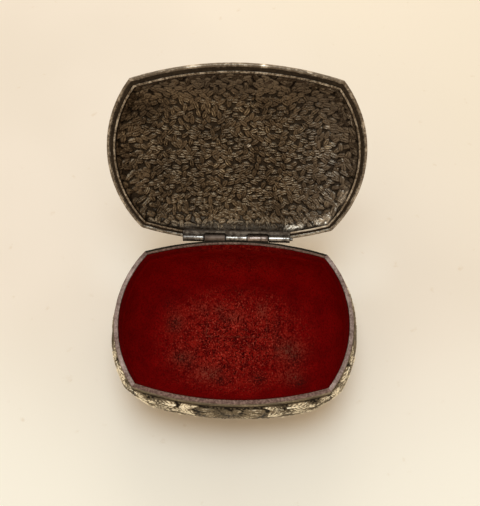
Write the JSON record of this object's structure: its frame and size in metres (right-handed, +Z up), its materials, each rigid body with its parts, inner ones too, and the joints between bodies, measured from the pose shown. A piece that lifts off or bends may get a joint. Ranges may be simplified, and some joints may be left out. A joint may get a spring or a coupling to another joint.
{
  "type": "hinged trinket box",
  "caption": "Small bombe trinket box of cast metal, its lid leaning open on a rolled-leaf hinge, lined with red velvet.",
  "frame": {"origin": "on the ground, under the middle of the box's foot", "axes": "+Z up, +Y from the front to the hinge, +X to the right as seen from the front; the lid is open at joint value 0"},
  "size_m": [0.08, 0.0909, 0.0764],
  "materials": {
    "cast_metal": "silver-toned white-metal casting, tarnished",
    "hinge_metal": "plated sheet, worn bright on the knuckles",
    "velvet": "dark red velvet, worn on the floor",
    "card": "plain greyboard"
  },
  "bodies": {
    "box": {"front_panel": "cast_metal", "back_panel": "cast_metal", "left_panel": "cast_metal", "right_panel": "cast_metal", "base_plate": "cast_metal", "floor_card": "card", "floor_lining": "velvet", "wall_lining": "velvet", "body_hinge_leaf": "hinge_metal", "hinge_pin": "hinge_metal"},
    "lid": {"lid": "cast_metal", "lid_hinge_leaf": "hinge_metal"}
  },
  "joints": [
    {"name": "lid_hinge", "type": "hinge", "parent": "box", "child": "lid", "pos_m": [0, 0.02765, 0.02955], "axis": [1, 0, 0], "range_deg": [0, 124]}
  ]
}
